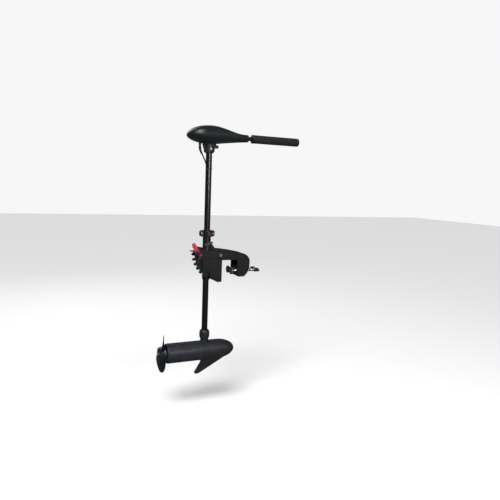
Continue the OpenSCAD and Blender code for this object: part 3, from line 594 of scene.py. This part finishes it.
def make_grip():
    start, cap = SHAFT_X + 0.209, SHAFT_X + 0.442
    body = [(0.0099, start), (0.0192, start), (0.0203, start + 0.0008), (0.02045, start + 0.002),
            (0.02045, start + 0.0038), (0.0197, start + 0.0046), (0.0185, start + 0.0062), (0.0185, start + 0.0078),
            (0.01925, start + 0.0088)]
    body += [(0.01925, start + 0.0095 + 0.0011 * k) for k in range(5)]
    body += [(0.01925, start + 0.02 + (cap - 0.026 - start) * k / 40) for k in range(41)]
    body += [(0.01925, cap - 0.0045), (0.0186, cap - 0.0035), (0.0181, cap - 0.002), (0.0181, cap - 0.0002),
             (0.0099, cap - 0.0002)]
    grip = add_object("grip_body", *lathe(body, 288, "x", (0, 0, SEAM_Z), grip_shape), "tiller", "grip_rubber")
    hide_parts("tiller_grip")
    end = [(0, cap), (0.0182, cap), (0.0189, cap + 0.0006), (0.01895, cap + 0.007)]
    for a in range(10, 100, 10):
        turn = math.radians(a)
        end.append((0.01295 + 0.006 * math.cos(turn), cap + 0.007 + 0.006 * math.sin(turn)))
    end += [(0.0105, cap + 0.013), (0.0098, cap + 0.0122), (0, cap + 0.0122)]
    knob = add_object("grip_end", *lathe(end, 96, "x", (0, 0, SEAM_Z)), "tiller", "grip_rubber")
    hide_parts("grip_end_cap")


make_grip()


# ---- propeller ------------------------------------------------------------------

PROP_R, PROP_PITCH, CHORD, PROP_ANGLE, ROOT_R = 100.0, 130.0, 88.6, 20.0, 26
HUB_FRONT, HUB_BACK, HUB_MID = -187.5, -218.0, -203.0


def chord_at(r):
    u = (r - 30) / (PROP_R - 30)
    corner = min(max((r - PROP_R + 16) / 16, 0), 0.99)
    return (1 - corner ** 2.5) ** 0.4 * CHORD * (0.62 + 1.1 * u - 0.75 * u * u - 0.6 * u ** 4)


def blade(turn):
    rows, steps = 44, 20
    points = []
    for i in range(rows):
        r = ROOT_R + (PROP_R - ROOT_R) * (1 - (1 - i / (rows - 1)) ** 1.25)
        b = math.atan(2 * math.pi * r / PROP_PITCH)
        c = chord_at(r)
        thick = 7.0 - 4.4 * (r - ROOT_R) / (PROP_R - ROOT_R) + 3.0 * math.exp(-((r - ROOT_R) / 9) ** 2)
        thick *= 1 - 0.5 * smooth_step(PROP_R - 5, PROP_R, r)
        for j in range(2 * steps):
            s = j / steps if j < steps else (2 * steps - j) / steps
            s = 0.5 - 0.5 * math.cos(math.pi * s)
            along = (s - 0.5) * c
            off = (1 if j < steps else -1) * thick * math.sqrt(max(s * (1 - s), 0))
            swing = (along * math.sin(b) + off * math.cos(b)) / r
            x = HUB_MID + along * math.cos(b) - off * math.sin(b)
            y, z = r * math.sin(swing), r * math.cos(swing)
            a = math.radians(turn)
            points.append(((x * MM) + SHAFT_X, (y * math.cos(a) - z * math.sin(a)) * MM,
                           (y * math.sin(a) + z * math.cos(a)) * MM + POD_Z))
    ring = 2 * steps
    faces = grid_faces(rows, ring)
    faces += [tuple(range(ring)), tuple(range((rows - 1) * ring, rows * ring))]
    return points, faces


def make_propeller():
    x0, x1 = SHAFT_X + HUB_BACK * MM, SHAFT_X + HUB_FRONT * MM
    hub = [(0.005, x1), (0.0355, x1), (0.0374, x1 - 0.0012), (0.0378, x1 - 0.003)]
    hub += [(0.0378 - 0.0062 * k / 8, x1 - 0.003 - (x1 - x0 - 0.006) * k / 8) for k in range(1, 9)]
    hub += [(0.0308, x0 + 0.0012), (0.0292, x0), (0.0150, x0), (0.0140, x0 + 0.0008), (0.0140, x0 + 0.004),
            (0.005, x0 + 0.004)]
    shapes = [lathe(hub, 96, "x", (0, 0, POD_Z)), blade(PROP_ANGLE), blade(PROP_ANGLE + 180)]
    prop = add_object("propeller_body", *merge(*shapes), "prop", "prop_plastic")
    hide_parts("propeller")


make_propeller()


# ---- small mouldings on the bracket, the neck, the gland and the lever -------------

CHEEK_Y, PANEL_RISE = 0.044, 0.0013
# Raised fields of each cheek: under the rim, two down the transom side, and one on the hook, in millimetres
PANELS = ([(-90, 57), (-90, 90), (-37, 90), (11, 86.5), (58, 80), (92, 73), (92, 57)],
          [(-90, 51), (-90, 6), (-58, 4), (-5, 4), (-5, 51)],
          [(-57, -2), (-54, -30), (-20, -46.5), (-5, -45), (-5, -2)],
          [(100, 68), (118, 60), (132, 42), (133, 12), (123, -12), (110, -24), (88, -24), (83, -16), (83, 46),
           (98, 52)])


def make_panels():
    for side, label in ((-1, "starboard"), (1, "port")):
        shapes = []
        for corners in PANELS:
            outline = rounded([(x * MM, z * MM) for x, z in corners], 0.005, 4)
            low, high = sorted((side * (CHEEK_Y - 0.0008), side * (CHEEK_Y + PANEL_RISE)))
            shapes.append(prism(outline, low, high, "y"))
        panels = add_object(f"cheek_panels_{label}", *merge(*shapes), "bracket", "bracket_plastic", smooth=False)
        bevel(panels, 0.0007, 3)


def make_gussets():
    """Eight webs between the neck socket's barrel and its flange."""
    shapes = []
    for k in range(8):
        web = prism([(0.0238, 0.551), (0.0256, 0.551), (0.0322, 0.5745), (0.0238, 0.5745)], -0.0013, 0.0013, "y")
        turn = Matrix.Translation((SHAFT_X, 0, 0)) @ Matrix.Rotation(math.radians(22.5 + 45 * k), 4, "Z")
        shapes.append(moved(web, turn))
    bevel(add_object("neck_gussets", *merge(*shapes), "shaft", "socket_plastic", smooth=False), 0.0005, 2)


def make_relief():
    """Tapered, ribbed sleeve that carries the lead out of its gland."""
    path = [Vector((x * MM + SHAFT_X, y * MM, z * MM)) for x, y, z in LEAD[1:6]]
    spots, steps, around = [], 44, 32
    for i in range(steps + 1):
        t = i / steps * (len(path) - 1)
        k = min(int(t), len(path) - 2)
        spots.append(path[k].lerp(path[k + 1], t - k))
    points = []
    for i, spot in enumerate(spots):
        along = (spots[min(i + 1, steps)] - spots[max(i - 1, 0)]).normalized()
        u = along.cross(Vector((0, 1, 0))).normalized()
        v = along.cross(u)
        radius = 0.0060 - 0.0022 * i / steps + (0.0006 if i % 4 in (1, 2) and i < steps - 2 else 0.0)
        for j in range(around):
            a = 2 * math.pi * j / around
            points.append(spot + u * radius * math.cos(a) + v * radius * math.sin(a))
    faces = grid_faces(steps + 1, around)
    faces += [tuple(range(around)), tuple(range(steps * around, (steps + 1) * around))]
    bevel(add_object("gland_relief", points, faces, "shaft", "seal_rubber"), 0.0003, 2)


LEVER_Y = -0.0615
LEVER_FOOT = Vector((-0.111, LEVER_Y, 0.076))
LEVER_RELEASED, LEVER_PIN_LEAN = 13, 38.2
RIB = ((-0.005, -0.0008), (0.005, -0.0008), (0.005, 0.0008), (-0.005, 0.0008))
LEVER_BEND, LEVER_TIP = Vector((-0.135, 0.101)), Vector((-0.149, 0.128))


def make_lever_pads():
    """Grip pads on both faces of the lever's arm, with cross ribs."""
    along = (LEVER_TIP - LEVER_BEND).normalized()
    across = Vector((along.y, -along.x))
    outline = []
    ends = ((LEVER_TIP - along * 0.004, 0.0066, 1), (LEVER_BEND + along * 0.004, 0.0074, -1))
    for centre, radius, sense in ends:
        for k in range(13):
            a = math.pi * k / 12
            offset = across * radius * math.cos(a) * sense, along * radius * math.sin(a) * sense
            outline.append(tuple(centre + offset[0] + offset[1]))
    shapes = [prism(outline, LEVER_Y - 0.0031, LEVER_Y + 0.0031, "y")]
    for k in range(6):
        mid = LEVER_BEND + along * (0.004 + 0.004 * k)
        corners = [mid + across * u + along * v for u, v in RIB]
        shapes.append(prism([tuple(c) for c in corners], LEVER_Y - 0.0036, LEVER_Y + 0.0036, "y"))
    lean = Matrix.Rotation(math.radians(LEVER_PIN_LEAN), 4, "Y")
    turn = (Matrix.Translation(LEVER_FOOT) @ lean @ Matrix.Rotation(math.radians(LEVER_RELEASED), 4, "Z")
            @ lean.inverted() @ Matrix.Translation(-LEVER_FOOT))
    bevel(add_object("lever_grips", *moved(merge(*shapes), turn), "lever", "lever_red", smooth=False), 0.0004, 2)


SCREW_Y, SCREW_Z, SCREW_LEAD, CORE_R, THREAD_DEPTH = 0.021, 0.004, 0.004, 0.0052, 0.00078


def make_clamp_thread(side, label):
    """Clamp screw with its real helical thread, and the plain journal that the pad turns on."""
    around, start, stop = 48, 0.0610, 0.1795
    rows = [(0.0544, 0.0036, 0), (0.0548, 0.0040, 0), (0.0608, 0.0040, 0)]
    for k in range(237):
        depth = smooth_step(0, 5, k) * (1 - smooth_step(228, 234, k))
        rows.append((start + (stop - start) * k / 236, CORE_R, depth))
    points = []
    for x, radius, depth in rows:
        for j in range(around):
            phase = (x / SCREW_LEAD - j / around) % 1
            crest = min(max(2.6 * (1 - abs(2 * phase - 1)) - 0.8, 0), 1)
            r, a = radius + THREAD_DEPTH * crest * depth, 2 * math.pi * j / around
            points.append((x, side * SCREW_Y + r * math.cos(a), r * math.sin(a) - SCREW_Z))
    faces = grid_faces(len(rows), around)
    faces += [tuple(range(around)), tuple(range((len(rows) - 1) * around, len(rows) * around))]
    screw = add_object(f"clamp_thread_{label}", points, faces, f"screw_{label}", SLOT_OF[f"clamp_screw_{label}"])
    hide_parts(f"clamp_screw_{label}")


make_clamp_thread(1, "port")
make_clamp_thread(-1, "starboard")
make_panels()
make_gussets()
make_relief()
make_lever_pads()


# ---- CAD nodes that stay: bevelled edges and their own finish --------------------

# Width of the rounded edges, in metres
EDGE_WIDTHS = (
    (0.0018, "clamp_knob_port clamp_knob_starboard"),
    (0.0014, "clamp_bracket tilt_lever"),
    (0.0012, "collar_near_half collar_far_half steering_knob"),
    (0.001, "tilt_yoke nose_casting clamp_pad_port clamp_pad_starboard"),
    (0.0009, "neck_socket depth_knob shaft_boot"),
    (0.0008, "neck_knob"),
    (0.0006, "rear_end_cap pivot_bolt pivot_nut prop_nut tiller_bushing"),
    (0.0005, "lock_pin collar_screws neck_bolt cable_gland"),
    (0.0004, "motor_casing"),
    (0.0003, "head_screws"),
)
SOFT_EDGE = {name: width for width, names in EDGE_WIDTHS for name in names.split()}

for name, node in frame["nodes"].items():
    node.data.materials.clear()
    node.data.materials.append(MATS[SLOT_OF[name]])
    if node.hide_render:
        continue
    if name in SOFT_EDGE:
        if "custom_normal" in node.data.attributes:
            node.data.attributes.remove(node.data.attributes["custom_normal"])
        weld = node.modifiers.new("weld", "WELD")
        weld.merge_threshold = 2e-6
        bevel(node, SOFT_EDGE[name], 2, 32)


# ---- floor and light ------------------------------------------------------------------

SKY, BACKDROP = 0.09, 0.93
# The floor lies below the lowest reach of the shaft, because the motor hangs from a transom
DEPTH_TRAVEL = 0.172
FLOOR_HALF = 14
SUN_POWER, SUN_SPREAD, SUN_TILT = 3.0, 30, (30, -26, 0)
LAMPS = (("key", (-2.2, -1.8, 2.4), (-0.06, 0, 0.2), 22, 1.4, 1.4),
         ("strip", (0.02, -2.6, 0.62), (-0.06, 0, 0.5), 24, 0.5, 0.46),
         ("side", (1.8, -2.0, 1.0), (-0.06, 0, 0.3), 10, 0.35, 1.8),
         ("rim", (-0.6, 2.4, 1.8), (-0.06, 0, 0.2), 20, 1.4, 1.4))


def make_stage():
    size, low = FLOOR_HALF, CAD_LOW.z - DEPTH_TRAVEL
    mesh = bpy.data.meshes.new("floor")
    corners = [(-size, -size, low), (size, -size, low), (size, size, low), (-size, size, low)]
    mesh.from_pydata(corners, [], [(0, 1, 2, 3)])
    floor = bpy.data.objects.new("floor", mesh)
    bpy.context.scene.collection.objects.link(floor)
    mat = bpy.data.materials.new("floor")
    mat.use_nodes = True
    shader = mat.node_tree.nodes["Principled BSDF"]
    shader.inputs["Base Color"].default_value = (0.9, 0.9, 0.9, 1)
    shader.inputs["Roughness"].default_value = 0.9
    mesh.materials.append(mat)
    floor.visible_glossy = False
    bpy.context.scene.view_settings.view_transform = "Standard"
    world = bpy.data.worlds.new("studio")
    bpy.context.scene.world = world
    world.use_nodes = True
    tree = world.node_tree
    sky = tree.nodes["Background"]
    sky.inputs[0].default_value = (1, 1, 1, 1)
    backdrop = tree.nodes.new("ShaderNodeBackground")
    backdrop.inputs[0].default_value = (1, 1, 1, 1)
    sky.inputs[1].default_value, backdrop.inputs[1].default_value = SKY, BACKDROP
    ray = tree.nodes.new("ShaderNodeLightPath")
    pick = tree.nodes.new("ShaderNodeMixShader")
    tree.links.new(ray.outputs["Is Camera Ray"], pick.inputs[0])
    tree.links.new(sky.outputs[0], pick.inputs[1])
    tree.links.new(backdrop.outputs[0], pick.inputs[2])
    tree.links.new(pick.outputs[0], tree.nodes["World Output"].inputs[0])
    data = bpy.data.lights.new("sun", "SUN")
    data.energy, data.angle = SUN_POWER, math.radians(SUN_SPREAD)
    sun = bpy.data.objects.new("sun", data)
    sun.rotation_euler = [math.radians(a) for a in SUN_TILT]
    bpy.context.scene.collection.objects.link(sun)
    for name, place, aim, power, wide, tall in LAMPS:
        data = bpy.data.lights.new(name, "AREA")
        data.shape, data.size, data.size_y, data.energy = "RECTANGLE", wide, tall, power
        lamp = bpy.data.objects.new(name, data)
        lamp.location = place
        lamp.rotation_euler = (Vector(aim) - Vector(place)).to_track_quat("-Z", "Y").to_euler()
        bpy.context.scene.collection.objects.link(lamp)


make_stage()
